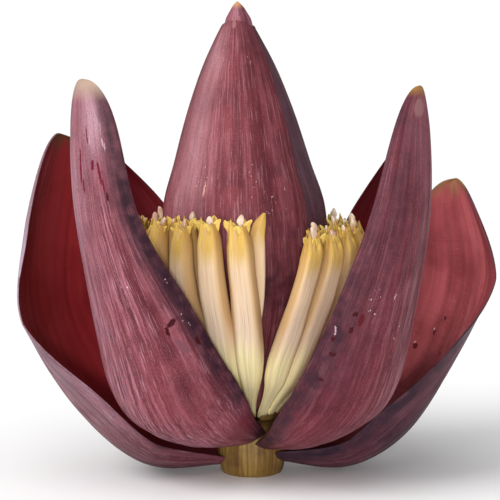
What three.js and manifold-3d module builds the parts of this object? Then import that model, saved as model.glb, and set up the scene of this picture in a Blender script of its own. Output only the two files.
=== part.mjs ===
// Banana blossom: a heart of tight bracts on a cut stem, six opened bracts and four hands of flowers.
// Millimetres. +Z runs up the heart and -Y is the front. The origin is level with the stem's cut and in the middle of
// the blossom's width and depth; everything below is measured from the stem's own axis, which stands at AXIS.
import * as THREE from "three";
import Module from "manifold-3d";

const wasm = await Module();
wasm.setup();

// ---- driving dimensions -------------------------------------------------------------------------
const TOTAL_HEIGHT = 236.5;
const AXIS = { x: -2.5, y: 1.6 };
const GAP = 0.3; // left free between pieces that lie together

// Cut stem: height and radius, up its side.
const STEM_PROFILE = [
  [0, 15.2],
  [1.5, 16],
  [8, 17.3],
  [13, 17.4],
  [20, 17],
  [26, 15.8],
  [29, 14],
];
const NECK_RADIUS = 6.5;
const NECK_TOP = 31;
const STEM_SIDES = 28;

// Heart: the round it fills at each height, and how far its axis has leant to the left there.
const HEART_BASE = 33;
const HEART_ROUND = [
  [33, 8.5],
  [45, 14.5],
  [60, 22],
  [80, 31.5],
  [98, 39],
  [115, 42.5],
  [134, 41.5],
  [158, 34.4],
  [180, 27.6],
  [198, 21],
  [208, 17],
  [215, 13.4],
  [222, 10.3],
  [228, 7.2],
];
const HEART_LEAN = [
  [33, 0],
  [80, -1],
  [110, -2.5],
  [134, -4],
  [180, -5.3],
  [236, -7.2],
];
const HEART_BUD_DEPTH = 4; // the inner bud lies this far inside the heart's round
const HEART_BUD_POINT = [
  [222, 6],
  [226, 5.6],
  [228, 5.6],
  [229.2, 6],
  [232, 4.6],
  [TOTAL_HEIGHT, 0.6],
];
const HEART_BRACT_THICKNESS = 1.2;
const HEART_STEPS_UP = 15;
const HEART_STEPS_ROUND = 10;
const HEART_BUD_SIDES = 20;
// Heart bracts: bearing of the middle, in degrees, and half of the arc covered, each low down and high up; the height
// of the tip; and how deep the clockwise edge, the middle and the other edge lie under the heart's round.
const HEART_BRACTS = {
  heart_bract_front: { bearing: [-103, -109], half: [60, 78], tip: 228, depth: [0, 0, 0] },
  heart_bract_right: { bearing: [-2, -2], half: [74, 74], tip: 225, depth: [2, 1, 0] },
  heart_bract_back: { bearing: [137, 137], half: [78, 78], tip: 222, depth: [2, 1, 2] },
};

// Opened bracts. `bearing` is the way each one points, in degrees. The lists hold values at equal steps from its base
// to its tip: reach from the axis and height of its midline, half of its width measured across the curve, how far
// round the curve turns on each side, its twist, how far the midline sways sideways, and how much wider the
// anticlockwise half is. A corner bends one margin outwards.
const BRACTS = {
  bract_front_left: {
    bearing: -131,
    reach: [12, 48, 75, 93, 109, 111],
    height: [16, 22.5, 41, 83, 140, 203],
    half: [16, 39, 44, 34, 22, 20],
    curl: [51, 63, 76, 68, 62, 45],
    twist: [1, 18, 3],
    sway: [0, 5, -6],
    lop: [0.08, 0, 0.02, 0.05, -0.04, -0.06],
  },
  bract_front_right: {
    bearing: -46,
    reach: [12, 53, 82, 98, 110, 110],
    height: [14, 25, 46, 85, 138, 200],
    half: [8, 34, 40, 34, 26, 14],
    curl: [46, 56, 64, 67, 60, 42],
    twist: [4, -2, 2],
    sway: [0, -3, -0.5],
    lop: [0.04, 0, 0.12],
  },
  bract_left: {
    bearing: 169,
    reach: [12, 52, 85, 106, 110, 102],
    height: [4, 5.5, 35, 78, 119, 169],
    half: [12, 42, 49, 45, 36, 25],
    curl: [44, 58, 58, 32, 41, 42],
    twist: [1, -6, -22],
    sway: [0, 12, -12],
    lop: [-0.06, 0.13, -0.08],
    corner: { side: 1, at: 0.58, spread: 0.14, push: 4 },
  },
  bract_right: {
    bearing: 11.5,
    reach: [12, 49, 79, 101, 113, 103],
    height: [7, 3, 19, 55, 100, 148],
    half: [18, 40, 48, 45, 38, 27],
    curl: [54, 69, 66, 48, 32, 44],
    twist: [9, -4, 25],
    sway: [0, -3, -9],
    lop: [0, 0, 0.12],
    corner: { side: -1, at: 0.81, spread: 0.16, push: 3.2 },
  },
  bract_back_left: {
    bearing: 134,
    reach: [12, 42, 68, 90, 106, 115],
    height: [19, 28, 47, 79, 121, 157],
    half: [9, 32, 42, 35, 29, 9],
    curl: [40, 60, 66, 60, 50, 45],
    twist: [0, -10, -12],
    sway: [0, 2, 0],
    lop: [-0.1, -0.13, 0],
  },
  bract_back_right: {
    bearing: 42,
    reach: [12, 42, 68, 90, 105, 113],
    height: [18, 28, 47, 80, 122, 166],
    half: [9, 32, 39, 32, 24, 6],
    curl: [40, 60, 66, 62, 56, 48],
    twist: [0, 10, 12],
    sway: [0, -2, 0],
    lop: [0, 0.1, 0.12],
  },
};
const BRACT_THICKNESS = 1.9; // along the midline
const BRACT_EDGE = 0.9; // at the margins
const BRACT_STEPS_ALONG = 20;
const BRACT_STEPS_ACROSS = 8;
const BRACT_SETBACK = 4; // the base corners reach back round the stem by this much

// Hands: bearings of the first and last flower of the outer row, at the tops and at the bases, the height of their
// rims, how many flowers the outer row holds, and the bearings of those behind it.
const HANDS = {
  hand_front_left: { tops: [-136, -93], bases: [-145, -90], rim: 133, outer: 4, inner: [-139, -124], freePetal: true },
  hand_front_right: { tops: [-54, -16], bases: [-71, -20], rim: 127, outer: 4, inner: [-44, -31, -18] },
  hand_back_right: { tops: [6, 75], bases: [5, 75], rim: 125, outer: 6, inner: [9, 26, 50, 71] },
  hand_back_left: { tops: [99, 200], bases: [100, 190], rim: 125, outer: 8, inner: [103, 119, 141, 166, 190] },
};
// A petal that has come free of the front left hand's last flower: height, how far it stands to that flower's right
// and in front of the heart, and its width.
const FREE_PETAL = [
  [86, 5, 12, 3],
  [98, 8, 11, 6],
  [112, 8.8, 10, 6.6],
  [126, 8.6, 9.5, 7.2],
  [133, 10.2, 9.5, 5.6],
  [138, 12.6, 9.5, 1],
];
const FREE_PETAL_THICKNESS = 1.3;
const CUSHION = { bottom: 29.3, top: 33, inside: NECK_RADIUS + GAP, outside: 17 };
const FLOWER_BASE = 31;
// Rows: how far a flower's middle stands off the heart at its base and above, its full width and thickness.
const OUTER_ROW = { off: [6, 14.5], width: 15.6, thickness: 9.6 };
const INNER_ROW = { off: [5, 5.6], width: 13, thickness: 8.4 };
// Up a flower: share of its length, share of its width there.
const FLOWER_PROFILE = [
  [0, 0.3],
  [0.12, 0.45],
  [0.27, 0.88],
  [0.42, 1],
  [0.62, 0.93],
  [0.85, 0.86],
  [1, 0.62],
];
const FLOWER_BEND = 1.7; // the higher, the nearer the rim a flower turns from its base's bearing to its top's
const FLOWER_SIDES = 8;
const RIM_VARIES = 5; // from the lowest rim of a hand to the highest
const PIT_DEPTH = 6; // the hollow inside a rim
const LOBE_RISE = 3.2; // a pointed lobe above the rim
const NOTCH_DROP = 1.2; // between two lobes, below the rim
const STIGMA_RISE = 6.5; // above the rim

// ---- curves -------------------------------------------------------------------------------------
const RAD = Math.PI / 180;
const clamp = (x, low, high) => Math.min(Math.max(x, low), high);
const mix = (a, b, f) => a + (b - a) * f;

// Smooth curve through equally spaced values, for s from 0 to 1.
function along(values, s) {
  const last = values.length - 1;
  const x = clamp(s, 0, 1) * last;
  const i = Math.min(Math.floor(x), last - 1);
  const f = x - i;
  const before = i > 0 ? values[i - 1] : 2 * values[0] - values[1];
  const after = i + 2 <= last ? values[i + 2] : 2 * values[last] - values[last - 1];
  const m1 = (values[i + 1] - before) / 2;
  const m2 = (after - values[i]) / 2;
  const h = f * f * (3 - 2 * f);
  return mix(values[i], values[i + 1], h) + m1 * f * (1 - f) * (1 - f) - m2 * f * f * (1 - f);
}

// Smooth curve through [height, value] pairs, with slopes that never overshoot.
function byHeight(table, z) {
  const n = table.length;
  if (z <= table[0][0]) return table[0][1];
  if (z >= table[n - 1][0]) return table[n - 1][1];
  let i = 0;
  while (z > table[i + 1][0]) i += 1;
  const slope = (k) => {
    const left = k > 0 ? (table[k][1] - table[k - 1][1]) / (table[k][0] - table[k - 1][0]) : null;
    const right = k < n - 1 ? (table[k + 1][1] - table[k][1]) / (table[k + 1][0] - table[k][0]) : null;
    if (left === null) return right;
    if (right === null) return left;
    return left * right <= 0 ? 0 : (2 * left * right) / (left + right);
  };
  const step = table[i + 1][0] - table[i][0];
  const f = (z - table[i][0]) / step;
  const h = f * f * (3 - 2 * f);
  return (
    mix(table[i][1], table[i + 1][1], h) +
    step * (slope(i) * f * (1 - f) * (1 - f) - slope(i + 1) * f * f * (1 - f))
  );
}

function randomFrom(seed) {
  let state = seed;
  return () => {
    state = (state * 1664525 + 1013904223) % 4294967296;
    return state / 4294967296;
  };
}

// ---- solids -------------------------------------------------------------------------------------
// A solid from rings of equally many points, with a fan at each end.
function ringSolid(rings, startPoint, endPoint) {
  const points = [];
  const faces = [];
  const n = rings[0].length;
  for (const ring of rings) points.push(...ring);
  const start = points.push(startPoint) - 1;
  const end = points.push(endPoint) - 1;
  for (let i = 0; i + 1 < rings.length; i += 1) {
    for (let j = 0; j < n; j += 1) {
      const k = (j + 1) % n;
      const a = i * n + j;
      const b = i * n + k;
      faces.push([a, b, b + n], [a, b + n, a + n]);
    }
  }
  const top = (rings.length - 1) * n;
  for (let j = 0; j < n; j += 1) {
    const k = (j + 1) % n;
    faces.push([start, k, j], [end, top + j, top + k]);
  }
  return solidOf(points, faces);
}

function solidOf(points, faces) {
  const mesh = new wasm.Mesh({
    numProp: 3,
    vertProperties: new Float32Array(points.flat()),
    triVerts: new Uint32Array(faces.flat()),
  });
  return new wasm.Manifold(mesh);
}

// A leaf-like shell: `outer` and `inner` are grids of the same size whose last row is one point.
function shellSolid(outer, inner) {
  const rows = outer.length;
  const n = outer[0].length;
  const points = [];
  const faces = [];
  const place = (grid) => {
    const from = points.length;
    for (let i = 0; i + 1 < rows; i += 1) points.push(...grid[i]);
    points.push(grid[rows - 1][0]);
    return from;
  };
  const o = place(outer);
  const q = place(inner);
  const tip = (rows - 1) * n;
  for (let i = 0; i + 2 < rows; i += 1) {
    for (let j = 0; j + 1 < n; j += 1) {
      const a = i * n + j;
      faces.push([o + a, o + a + 1, o + a + n + 1], [o + a, o + a + n + 1, o + a + n]);
      faces.push([q + a, q + a + n + 1, q + a + 1], [q + a, q + a + n, q + a + n + 1]);
    }
    const l = i * n;
    const r = i * n + n - 1;
    faces.push([o + l, o + l + n, q + l + n], [o + l, q + l + n, q + l]);
    faces.push([o + r, q + r + n, o + r + n], [o + r, q + r, q + r + n]);
  }
  const last = (rows - 2) * n;
  for (let j = 0; j + 1 < n; j += 1) {
    faces.push([o + last + j, o + last + j + 1, o + tip], [q + last + j, q + tip, q + last + j + 1]);
    faces.push([o + j, q + j, q + j + 1], [o + j, q + j + 1, o + j + 1]);
  }
  faces.push([o + last, o + tip, q + tip], [o + last, q + tip, q + last]);
  const right = last + n - 1;
  faces.push([o + right, q + tip, o + tip], [o + right, q + right, q + tip]);
  return solidOf(points, faces);
}

function turnedSolid(profile, sides) {
  const rings = profile.map(([z, radius]) =>
    Array.from({ length: sides }, (_, j) => {
      const angle = (2 * Math.PI * j) / sides;
      return [radius * Math.cos(angle), radius * Math.sin(angle), z];
    }),
  );
  return ringSolid(rings, [0, 0, profile[0][0]], [0, 0, profile[profile.length - 1][0]]);
}

// ---- opened bracts ------------------------------------------------------------------------------
function cornerPush(corner, s, t) {
  if (!corner || t * corner.side <= 0) return 0;
  return corner.push * clamp(1 - Math.abs(s - corner.at) / corner.spread, 0, 1) ** 1.5 * Math.abs(t) ** 3;
}

// A point midway through the bract's thickness: s runs from base to tip, t from one margin (-1) to the other (1).
function bractPoint(b, s, t) {
  const bearing = b.bearing * RAD;
  const sideways = new THREE.Vector3(-Math.sin(bearing), Math.cos(bearing), 0);
  const midline = (u) => {
    const reach = along(b.reach, u);
    return new THREE.Vector3(reach * Math.cos(bearing), reach * Math.sin(bearing), along(b.height, u)).addScaledVector(
      sideways,
      along(b.sway, u),
    );
  };
  const onwards = midline(Math.min(s + 1e-4, 1)).sub(midline(Math.max(s - 1e-4, 0))).normalize();
  const across = sideways.clone().addScaledVector(onwards, -sideways.dot(onwards)).normalize();
  const inward = new THREE.Vector3().crossVectors(onwards, across);
  const twist = along(b.twist, s) * RAD;
  const a = across.clone().multiplyScalar(Math.cos(twist)).addScaledVector(inward, Math.sin(twist));
  const n = inward.clone().multiplyScalar(Math.cos(twist)).addScaledVector(across, -Math.sin(twist));
  const half = along(b.half, s) * Math.sqrt(clamp(1 - s ** 14, 0, 1));
  const curl = along(b.curl, s) * RAD;
  const share = t * (1 + Math.sign(t) * along(b.lop, s));
  const radius = half / curl;
  return midline(s)
    .addScaledVector(a, radius * Math.sin(curl * share))
    .addScaledVector(n, radius * (1 - Math.cos(curl * share)) - cornerPush(b.corner, s, t))
    .addScaledVector(onwards, -BRACT_SETBACK * t * t * clamp(1 - 6 * s, 0, 1));
}

function bractSolid(b) {
  const outer = [];
  const inner = [];
  for (let i = 0; i <= BRACT_STEPS_ALONG; i += 1) {
    const s = 1 - (1 - i / BRACT_STEPS_ALONG) ** 1.45;
    const near = Math.min(s, 0.995);
    outer.push([]);
    inner.push([]);
    for (let j = 0; j <= BRACT_STEPS_ACROSS; j += 1) {
      const t = (2 * j) / BRACT_STEPS_ACROSS - 1;
      const p = bractPoint(b, s, t);
      const up = bractPoint(b, near + 0.004, t).sub(bractPoint(b, near - 0.004, t));
      const over = bractPoint(b, near, Math.min(t + 0.02, 1)).sub(bractPoint(b, near, Math.max(t - 0.02, -1)));
      const normal = new THREE.Vector3().crossVectors(up, over).normalize();
      const thin = Math.max(t ** 4, s ** 10);
      const halfThickness = mix(BRACT_THICKNESS, BRACT_EDGE, thin) / 2;
      outer[i].push(p.clone().addScaledVector(normal, -halfThickness).toArray());
      inner[i].push(p.clone().addScaledVector(normal, halfThickness).toArray());
    }
  }
  return shellSolid(outer, inner);
}

// ---- heart --------------------------------------------------------------------------------------
const heartRound = (z) => byHeight(HEART_ROUND, z);
const heartLean = (z) => byHeight(HEART_LEAN, z);

function heartBract(b) {
  const outer = [];
  const inner = [];
  for (let i = 0; i <= HEART_STEPS_UP; i += 1) {
    const u = 1 - (1 - i / HEART_STEPS_UP) ** 1.7;
    const z = mix(HEART_BASE, b.tip, u);
    const middle = mix(b.bearing[0], b.bearing[1], u ** 3);
    const half = mix(b.half[0], b.half[1], u ** 3) * Math.sqrt(Math.max(1 - u ** 160, 0));
    outer.push([]);
    inner.push([]);
    for (let j = 0; j <= HEART_STEPS_ROUND; j += 1) {
      const t = (2 * j) / HEART_STEPS_ROUND - 1;
      const bearing = (middle + half * t) * RAD;
      const depth = along(b.depth, (t + 1) / 2) * mix(1, 0.6, u ** 8);
      const thickness = mix(HEART_BRACT_THICKNESS, 0.7, Math.max(t ** 8, u ** 8));
      for (const [grid, radius] of [
        [outer, heartRound(z) - depth],
        [inner, heartRound(z) - depth - thickness],
      ])
        grid[i].push([heartLean(z) + radius * Math.cos(bearing), radius * Math.sin(bearing), z]);
    }
  }
  return shellSolid(outer, inner);
}

function heartBud() {
  const heights = [HEART_BASE, 45, 60, 80, 98, 115, 134, 158, 180, 200, 213];
  const profile = heights.map((z) => [z, heartRound(z) - HEART_BUD_DEPTH]);
  profile.push(...HEART_BUD_POINT);
  const rings = profile.map(([z, radius]) =>
    Array.from({ length: HEART_BUD_SIDES }, (_, j) => {
      const angle = (2 * Math.PI * j) / HEART_BUD_SIDES;
      return [heartLean(z) + radius * Math.cos(angle), radius * Math.sin(angle), z];
    }),
  );
  const tip = profile[profile.length - 1][0];
  return ringSolid(rings, [0, 0, HEART_BASE], [heartLean(tip), 0, tip + 0.1]);
}

// ---- flowers ------------------------------------------------------------------------------------
// One flower: an angled tube that follows the heart's swell, split at the rim into pointed lobes round a stigma.
function flower(row, rimHeight, topBearing, baseBearing, random) {
  const rim = rimHeight + RIM_VARIES * (random() - 0.5);
  const width = row.width * (0.93 + 0.14 * random());
  const rings = [];
  const centre = (f, z) => {
    const bearing = mix(baseBearing, topBearing, f ** FLOWER_BEND) * RAD;
    const reach = heartRound(z) + mix(row.off[0], row.off[1], clamp(f * 5, 0, 1));
    return { bearing, reach, z };
  };
  const ring = (f, z, share, lift) => {
    const c = centre(f, z);
    return Array.from({ length: FLOWER_SIDES }, (_, j) => {
      const angle = (-2 * Math.PI * (j + 0.5)) / FLOWER_SIDES;
      const across = (width / 2) * share * Math.cos(angle);
      const out = (row.thickness / 2) * share * Math.sin(angle);
      const reach = c.reach + out;
      return [
        heartLean(z) + reach * Math.cos(c.bearing) - across * Math.sin(c.bearing),
        reach * Math.sin(c.bearing) + across * Math.cos(c.bearing),
        z + lift(j),
      ];
    });
  };
  const level = () => 0;
  const lobes = (j) => (j % 2 === 0 ? LOBE_RISE : -NOTCH_DROP);
  for (const [f, share] of FLOWER_PROFILE) {
    rings.push(ring(f, mix(FLOWER_BASE, rim, f), share, f === 1 ? lobes : level));
  }
  rings.push(ring(1, rim - PIT_DEPTH, 0.4, level));
  const base = centre(0, FLOWER_BASE);
  const pit = centre(1, rim - PIT_DEPTH);
  const at = (c, z) => [heartLean(c.z) + c.reach * Math.cos(c.bearing), c.reach * Math.sin(c.bearing), z];
  const tube = ringSolid(rings, at(base, FLOWER_BASE), at(pit, rim - PIT_DEPTH));
  const stigma = [
    [-PIT_DEPTH - 1, 1.1],
    [0, 1.2],
    [STIGMA_RISE - 2, 2.2],
  ].map(([rise, radius]) =>
    Array.from({ length: 5 }, (_, j) => {
      const angle = (2 * Math.PI * j) / 5;
      const p = at(pit, rim + rise);
      return [p[0] + radius * Math.cos(angle), p[1] + radius * Math.sin(angle), p[2]];
    }),
  );
  return tube.add(ringSolid(stigma, at(pit, rim - PIT_DEPTH - 1), at(pit, rim + STIGMA_RISE)));
}

function freePetal(bearing) {
  const angle = bearing * RAD;
  const rings = FREE_PETAL.map(([z, aside, off, width]) =>
    [
      [-width / 2, 0],
      [0, -FREE_PETAL_THICKNESS],
      [width / 2, 0],
      [0, FREE_PETAL_THICKNESS / 2],
    ].map(([x, y]) => {
      const reach = heartRound(z) + off - y;
      return [
        heartLean(z) + reach * Math.cos(angle) - (aside + x) * Math.sin(angle),
        reach * Math.sin(angle) + (aside + x) * Math.cos(angle),
        z,
      ];
    }),
  );
  const middle = (ring) => [0, 1, 2].map((k) => (ring[0][k] + ring[2][k]) / 2);
  return ringSolid(rings, middle(rings[0]), middle(rings[rings.length - 1]));
}

function cushion(from, to) {
  const steps = 8;
  const rings = [];
  for (let i = 0; i <= steps; i += 1) {
    const angle = mix(from, to, i / steps) * RAD;
    const c = Math.cos(angle);
    const s = Math.sin(angle);
    rings.push([
      [CUSHION.inside * c, CUSHION.inside * s, CUSHION.top],
      [(CUSHION.outside - 1) * c, (CUSHION.outside - 1) * s, CUSHION.top],
      [CUSHION.outside * c, CUSHION.outside * s, CUSHION.top - 1],
      [CUSHION.outside * c, CUSHION.outside * s, CUSHION.bottom],
      [CUSHION.inside * c, CUSHION.inside * s, CUSHION.bottom],
    ]);
  }
  const middle = (ring) => [0, 1, 2].map((k) => (ring[0][k] + ring[1][k] + ring[3][k] + ring[4][k]) / 4);
  return ringSolid(rings, middle(rings[0]), middle(rings[steps]));
}

function handSolid(hand, seed) {
  const random = randomFrom(seed);
  const [first, last] = hand.tops;
  const spacing = (hand.bases[1] - hand.bases[0]) / (hand.outer - 1);
  let solid = cushion(hand.bases[0] - 0.45 * spacing, hand.bases[1] + 0.45 * spacing);
  const stand = (row, top) => {
    const f = clamp((top - first) / (last - first), 0.02, 0.98);
    solid = solid.add(flower(row, hand.rim, top, mix(hand.bases[0], hand.bases[1], f), random));
  };
  for (let i = 0; i < hand.outer; i += 1) stand(OUTER_ROW, mix(first, last, i / (hand.outer - 1)));
  for (const top of hand.inner) stand(INNER_ROW, top);
  if (hand.freePetal) solid = solid.add(freePetal(last));
  return solid;
}

// ---- assembly -----------------------------------------------------------------------------------
const COLOURS = {
  stem: 0x8a7138,
  bract: 0x7c3f4e,
  heart: 0x8e4c5c,
  flower: 0xe0c690,
};
const root = new THREE.Group();
root.position.set(AXIS.x, AXIS.y, 0);

function addNode(name, solid, colour) {
  const mesh = solid.getMesh();
  const geometry = new THREE.BufferGeometry();
  geometry.setAttribute("position", new THREE.BufferAttribute(mesh.vertProperties, 3));
  geometry.setIndex(new THREE.BufferAttribute(mesh.triVerts, 1));
  const node = new THREE.Mesh(geometry, new THREE.MeshStandardMaterial({ color: colour, flatShading: true }));
  node.name = name;
  root.add(node);
}

const stemProfile = [...STEM_PROFILE, [29, NECK_RADIUS], [NECK_TOP, NECK_RADIUS - 0.3]];
addNode("stem", turnedSolid(stemProfile, STEM_SIDES), COLOURS.stem);

const clearProfile = STEM_PROFILE.map(([z, radius]) => [z, radius + GAP]);
clearProfile[0][0] = -5;
const stemRoom = turnedSolid(clearProfile, STEM_SIDES);
for (const [name, bract] of Object.entries(BRACTS)) {
  const [body] = bractSolid(bract)
    .subtract(stemRoom)
    .decompose()
    .sort((a, b) => b.volume() - a.volume());
  addNode(name, body, COLOURS.bract);
}

addNode("heart_bud", heartBud(), COLOURS.heart);
for (const [name, bract] of Object.entries(HEART_BRACTS)) {
  addNode(name, heartBract(bract), COLOURS.heart);
}

Object.entries(HANDS).forEach(([name, hand], i) => {
  addNode(name, handSolid(hand, 11 + i), COLOURS.flower);
});

export default root;
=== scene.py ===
"""Banana blossom on its cut stem: a tight heart, four hands of flowers and six opened bracts."""
import math
import random

import bpy
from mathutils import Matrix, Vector, noise


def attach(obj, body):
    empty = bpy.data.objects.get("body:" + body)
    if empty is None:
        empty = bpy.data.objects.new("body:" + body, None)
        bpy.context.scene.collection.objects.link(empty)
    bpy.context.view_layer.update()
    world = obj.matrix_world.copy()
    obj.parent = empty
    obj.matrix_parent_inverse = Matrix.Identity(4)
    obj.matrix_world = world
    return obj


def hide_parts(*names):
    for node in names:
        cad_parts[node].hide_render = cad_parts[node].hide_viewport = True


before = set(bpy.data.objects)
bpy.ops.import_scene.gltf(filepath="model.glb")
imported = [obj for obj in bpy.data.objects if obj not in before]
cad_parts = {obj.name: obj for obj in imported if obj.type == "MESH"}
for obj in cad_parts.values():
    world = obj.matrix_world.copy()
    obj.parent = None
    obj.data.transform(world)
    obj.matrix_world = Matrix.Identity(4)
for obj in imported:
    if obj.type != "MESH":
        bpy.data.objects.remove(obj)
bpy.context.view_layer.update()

MM = 0.001
AXIS = Vector((-2.5, 1.6, 0))  # the stem's own axis, mm
# ---- camera -------------------------------------------------------------------------------------
# A long lens a metre off, eight degrees above level, so that the near bracts grow little.
SENSOR, LENS = 36, 144
VIEW_HEIGHT = 118
VIEW_DISTANCE = 1000
VIEW_ABOVE = math.radians(8)
VIEW_LEFT, VIEW_LOW = 1.0, 4.85  # how far the blossom stands off the middle of the picture

sight = bpy.data.cameras.new("camera")
sight.sensor_width = SENSOR
sight.lens = LENS
sight.clip_start = 0.05
sight.clip_end = 100
camera = bpy.data.objects.new("camera", sight)
bpy.context.scene.collection.objects.link(camera)
camera.rotation_euler = (math.radians(90) - VIEW_ABOVE, 0, 0)
away = Vector((0, -math.cos(VIEW_ABOVE), math.sin(VIEW_ABOVE)))
upward = Vector((0, math.sin(VIEW_ABOVE), math.cos(VIEW_ABOVE)))
middle = AXIS + Vector((-VIEW_LEFT, 0, VIEW_HEIGHT)) - upward * VIEW_LOW
camera.location = (middle + away * VIEW_DISTANCE) * MM
bpy.context.scene.camera = camera


# ---- curves -------------------------------------------------------------------------------------
def clamp(x, low=0.0, high=1.0):
    return min(max(x, low), high)


def mix(a, b, f):
    return a + (b - a) * f


def smooth(low, high, x):
    f = clamp((x - low) / (high - low))
    return f * f * (3 - 2 * f)


def along(values, s):
    """Smooth curve through equally spaced values, for s from 0 to 1."""
    last = len(values) - 1
    x = clamp(s) * last
    i = min(int(x), last - 1)
    f = x - i
    before = values[i - 1] if i > 0 else 2 * values[0] - values[1]
    after = values[i + 2] if i + 2 <= last else 2 * values[last] - values[last - 1]
    m1 = (values[i + 1] - before) / 2
    m2 = (after - values[i]) / 2
    h = f * f * (3 - 2 * f)
    return mix(values[i], values[i + 1], h) + m1 * f * (1 - f) ** 2 - m2 * f * f * (1 - f)


def by_height(table, z):
    """Smooth curve through (height, value) pairs, with slopes that never overshoot."""
    n = len(table)
    if z <= table[0][0]:
        return table[0][1]
    if z >= table[-1][0]:
        return table[-1][1]
    i = 0
    while z > table[i + 1][0]:
        i += 1

    def slope(k):
        left = (table[k][1] - table[k - 1][1]) / (table[k][0] - table[k - 1][0]) if k > 0 else None
        right = (table[k + 1][1] - table[k][1]) / (table[k + 1][0] - table[k][0]) if k < n - 1 else None
        if left is None:
            return right
        if right is None:
            return left
        return 0 if left * right <= 0 else 2 * left * right / (left + right)

    step = table[i + 1][0] - table[i][0]
    f = (z - table[i][0]) / step
    h = f * f * (3 - 2 * f)
    bend = slope(i) * f * (1 - f) ** 2 - slope(i + 1) * f * f * (1 - f)
    return mix(table[i][1], table[i + 1][1], h) + step * bend


# ---- materials ----------------------------------------------------------------------------------
def linear(hex_value):
    """sRGB hex to a linear colour."""
    parts = [int(hex_value[i:i + 2], 16) / 255 for i in (1, 3, 5)]
    return tuple(c / 12.92 if c <= 0.04045 else ((c + 0.055) / 1.055) ** 2.4 for c in parts) + (1.0,)


def set_inputs(tree, node, inputs):
    """Sets a node's inputs: one whose value is another node's output is linked to it."""
    for name, value in inputs.items():
        socket = node.inputs[name]
        if isinstance(value, bpy.types.NodeSocket):
            tree.links.new(value, socket)
        else:
            socket.default_value = value


def add_node(tree, kind, inputs=None, stops=None, out=None, **settings):
    """Adds one node with its settings, its inputs and the stops of a colour ramp. Gives the node, or the
    output that `out` names."""
    made = tree.nodes.new("ShaderNode" + kind)
    for name, value in settings.items():
        setattr(made, name, value)
    set_inputs(tree, made, inputs or {})
    if stops:
        elements = made.color_ramp.elements
        elements.remove(elements[1])
        for place, _ in stops[1:]:
            elements.new(place)
        elements[0].position = stops[0][0]
        for element, (_, value) in zip(elements, stops):
            element.color = linear(value) if isinstance(value, str) else (value, value, value, 1)
    return made if out is None else made.outputs[out]


# A colour mix takes its share at input 0 and its two colours at 6 and 7, and gives the result at output 2.
SHARE, UNDER, OVER, MIXED = 0, 6, 7, 2


def new_material(name):
    """An empty node material with its surface shader."""
    made = bpy.data.materials.new(name)
    made.use_nodes = True
    made.node_tree.nodes.clear()
    shader = add_node(made.node_tree, "BsdfPrincipled")
    add_node(made.node_tree, "OutputMaterial", {"Surface": shader.outputs["BSDF"]})
    return made, made.node_tree, shader


def read(tree, name):
    """Reads what is kept on the skin under a name: the whole of it and its three parts."""
    whole = add_node(tree, "Attribute", attribute_name=name, out="Vector")
    parts = add_node(tree, "SeparateXYZ", {0: whole})
    return whole, *(parts.outputs[axis] for axis in "XYZ")


def paint(tree, colour, layers):
    """Lays colours over one another. A layer has its hex value, the pattern that it follows, that pattern's
    stops and its strength."""
    for over, pattern, stops, strength in layers:
        share = add_node(tree, "ValToRGB", {"Fac": pattern}, stops=stops, out="Color")
        share = add_node(tree, "Math", {0: share, 1: strength}, operation="MULTIPLY", out=0)
        colour = add_node(
            tree, "Mix", {SHARE: share, UNDER: colour, OVER: linear(over)}, data_type="RGBA", out=MIXED)
    return colour


def streaks(tree, skin, across, lengthwise, detail=2.0, rough=0.5, shift=0.0):
    """Noise drawn out along the skin: `across` and `lengthwise` are the size of one streak, mm."""
    scaled = add_node(tree, "Mapping", {
        "Vector": skin, "Location": (shift, shift * 0.37, 0), "Scale": (1 / across, 1 / lengthwise, 0)},
        out="Vector")
    return add_node(tree, "TexNoise", {
        "Vector": scaled, "Scale": 1.0, "Detail": detail, "Roughness": rough}, out="Fac")


def ragged_skin(tree, skin, ragged, size=1.4):
    """The skin's flat coordinates, shaken by up to `ragged` mm in waves of `size` mm, so that what is drawn
    on them wanders and has no clean edge."""
    shake = add_node(tree, "TexNoise", {"Vector": skin, "Scale": 1 / size, "Detail": 3.0}, out="Color")
    shake = add_node(tree, "VectorMath", {0: shake, 1: (0.5, 0.5, 0.5)}, operation="SUBTRACT", out=0)
    flat = add_node(tree, "VectorMath", {0: skin, 1: (1, 1, 0)}, operation="MULTIPLY", out=0)
    return add_node(tree, "VectorMath", {
        0: shake, 1: (2 * ragged, 2 * ragged, 0), 2: flat}, operation="MULTIPLY_ADD", out=0)


def below_tip(tree, up, length, reach, pattern, ragged):
    """How far a point is below the tip, where `reach` mm count as 1, made ragged by a pattern."""
    below = add_node(tree, "Math", {0: length, 1: up}, operation="SUBTRACT", out=0)
    below = add_node(tree, "Math", {0: below, 1: reach}, operation="DIVIDE", out=0)
    return add_node(tree, "Math", {0: pattern, 1: ragged, 2: below}, operation="MULTIPLY_ADD", out=0)


MARK_EDGE = [(0.12, 0.0), (0.34, 1.0)]  # how a spot's colour sets in from its rim


def spots(tree, skin, places):
    """Spots on the skin, 1 in the middle of each and 0 outside. A place is x, y, width and length in mm, and
    turn in degrees."""
    deepest = 0.0
    for x, y, across, lengthwise, turn in places:
        near = add_node(tree, "Mapping", {
            "Vector": skin, "Location": (x, y, 0), "Rotation": (0, 0, math.radians(turn)),
            "Scale": (across / 2, lengthwise / 2, 1)}, vector_type="TEXTURE", out="Vector")
        inside = add_node(tree, "TexGradient", {"Vector": near}, gradient_type="SPHERICAL", out="Fac")
        deepest = add_node(tree, "Math", {0: deepest, 1: inside}, operation="MAXIMUM", out=0)
    return deepest


# ---- shaping ------------------------------------------------------------------------------------
MERGE = 0.02  # points nearer than this become one, mm


def start_edit(kind):
    bpy.ops.object.mode_set(mode="EDIT")
    bpy.context.tool_settings.mesh_select_mode = tuple(kind == k for k in ("VERT", "EDGE", "FACE"))


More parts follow.
